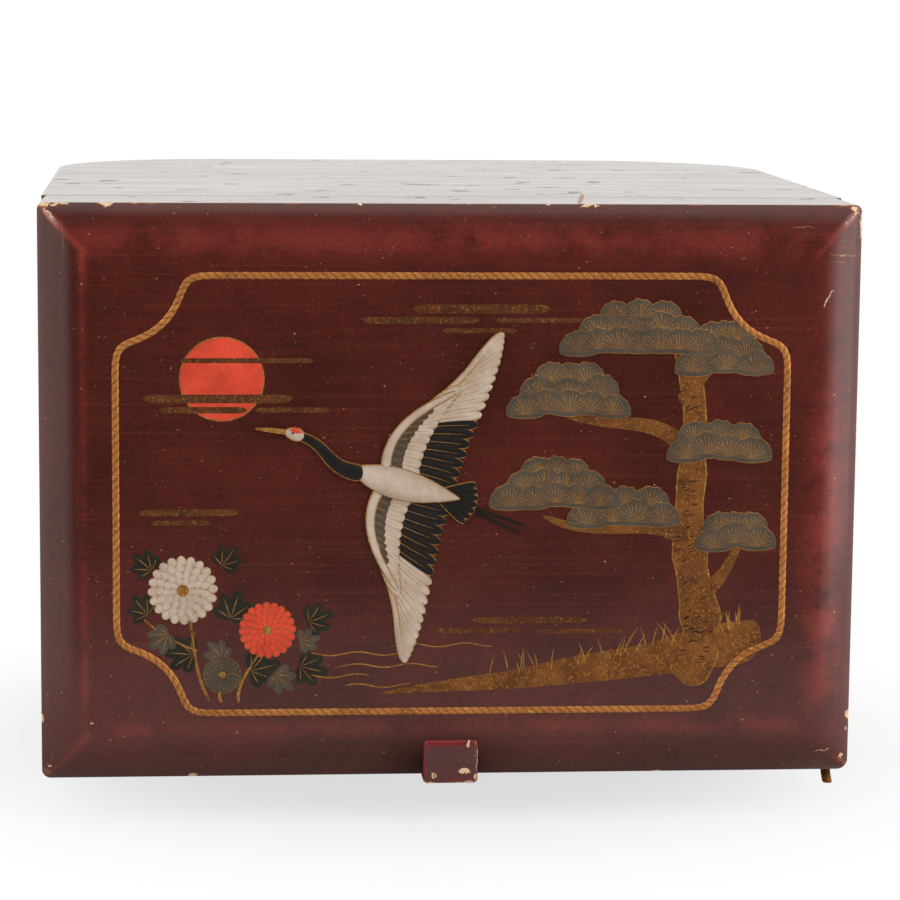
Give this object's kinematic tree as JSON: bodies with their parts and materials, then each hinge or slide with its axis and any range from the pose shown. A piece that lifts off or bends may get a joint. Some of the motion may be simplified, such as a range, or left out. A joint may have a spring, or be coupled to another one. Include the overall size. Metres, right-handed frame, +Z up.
{
  "type": "table cabinet",
  "caption": "Low lacquered table cabinet with a crowned, hollow front door hung on a long side rod, a fixed shelf, round back corners, block feet and a pull tab.",
  "frame": {"origin": "on the floor, under the middle of the cabinet", "axes": "+X to the right seen from the front, +Y to the back, +Z up; the door faces -Y"},
  "size_m": [0.4047, 0.39, 0.305],
  "materials": {
    "red_lacquer": "glossy red-brown lacquer over wood, worn at the edges",
    "dark_lacquer": "glossy dark red-brown lacquer over wood",
    "inner_lacquer": "satin black-brown lacquer over wood",
    "bare_wood": "bare softwood",
    "aged_brass": "aged brass"
  },
  "bodies": {
    "carcass": {"carcass_top": "dark_lacquer", "carcass_bottom": "dark_lacquer", "carcass_side_left": "dark_lacquer", "carcass_side_right": "dark_lacquer", "carcass_back": "dark_lacquer", "round_corner_left": "dark_lacquer", "round_corner_right": "dark_lacquer", "foot_front_left": "dark_lacquer", "foot_front_right": "dark_lacquer", "foot_back_left": "dark_lacquer", "foot_back_right": "dark_lacquer", "lip_top": "inner_lacquer", "lip_bottom": "inner_lacquer", "lip_left": "inner_lacquer", "lip_right": "inner_lacquer", "shelf": "inner_lacquer", "shelf_cleat_left": "bare_wood", "shelf_cleat_right": "bare_wood", "hinge_rod": "aged_brass", "hinge_lower_carcass_leaf": "aged_brass", "hinge_upper_carcass_leaf": "aged_brass", "hinge_lower_carcass_screw_1": "aged_brass", "hinge_lower_carcass_screw_2": "aged_brass", "hinge_upper_carcass_screw_1": "aged_brass", "hinge_upper_carcass_screw_2": "aged_brass"},
    "door": {"door_panel": "red_lacquer", "door_rail_top": "red_lacquer", "door_rail_bottom": "red_lacquer", "door_stile_left": "red_lacquer", "door_stile_right": "red_lacquer", "pull_tab": "red_lacquer", "hinge_lower_door_leaf": "aged_brass", "hinge_upper_door_leaf": "aged_brass", "hinge_lower_door_screw_1": "aged_brass", "hinge_lower_door_screw_2": "aged_brass", "hinge_upper_door_screw_1": "aged_brass", "hinge_upper_door_screw_2": "aged_brass"}
  },
  "joints": [
    {"name": "door_hinge", "type": "hinge", "parent": "carcass", "child": "door", "pos_m": [0.2005, -0.135, 0.164], "axis": [0, 0, 1], "range_deg": [0, 170]}
  ]
}
